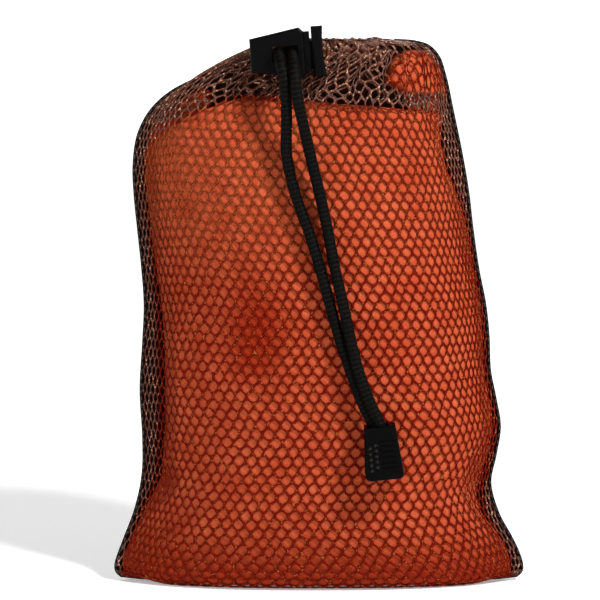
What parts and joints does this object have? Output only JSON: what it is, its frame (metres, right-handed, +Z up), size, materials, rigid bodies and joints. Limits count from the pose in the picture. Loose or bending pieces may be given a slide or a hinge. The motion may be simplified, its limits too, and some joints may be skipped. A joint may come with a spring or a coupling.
{
  "type": "stuff sack",
  "caption": "Drawstring stuff sack with a net front and cloth back, packed with a folded towel and cinched shut by a sprung cord lock; its drawcord tails end in a moulded cord end.",
  "frame": {"origin": "middle of the sack's footprint on the surface that it stands on, in the plane of the side and bottom seams", "axes": "+Z up from the base to the mouth, +Y through the sack from the net front to the cloth back, +X to the right seen from the front"},
  "size_m": [0.145, 0.0656, 0.1954],
  "materials": {
    "net": "knitted flat yarn, slight sheen",
    "back_cloth": "plain woven nylon, matte",
    "binding": "stitched fabric tape, matte",
    "towel": "suede microfibre, matte",
    "cord": "braided polyester, matte",
    "lock_plastic": "moulded, satin",
    "end_plastic": "moulded, satin",
    "spring_steel": "drawn wire"
  },
  "bodies": {
    "sack": {"front_net": "net", "back_cloth": "back_cloth", "left_seam": "binding", "right_seam": "binding", "bottom_seam": "binding", "mouth_casing": "net", "towel": "towel", "drawcord_loop": "cord", "lock_body": "lock_plastic", "lock_spring": "spring_steel"},
    "plunger": {"lock_plunger": "lock_plastic"},
    "tails": {"tail_left": "cord", "tail_right": "cord", "tail_knot": "cord", "cord_end_front": "end_plastic", "cord_end_back": "end_plastic"}
  },
  "joints": [
    {"name": "plunger_press", "type": "slide", "parent": "sack", "child": "plunger", "axis": [-0.9976, 0, -0.0698], "range_m": [0, 0.002], "stiffness_N_per_m": 900, "springref_m": -0.002, "deforming": ["lock_spring"]},
    {"name": "tails_lift", "type": "hinge", "parent": "sack", "child": "tails", "pos_m": [-0.0117, -0.0207, 0.1879], "axis": [-1, 0, 0], "range_deg": [0, 90]}
  ]
}
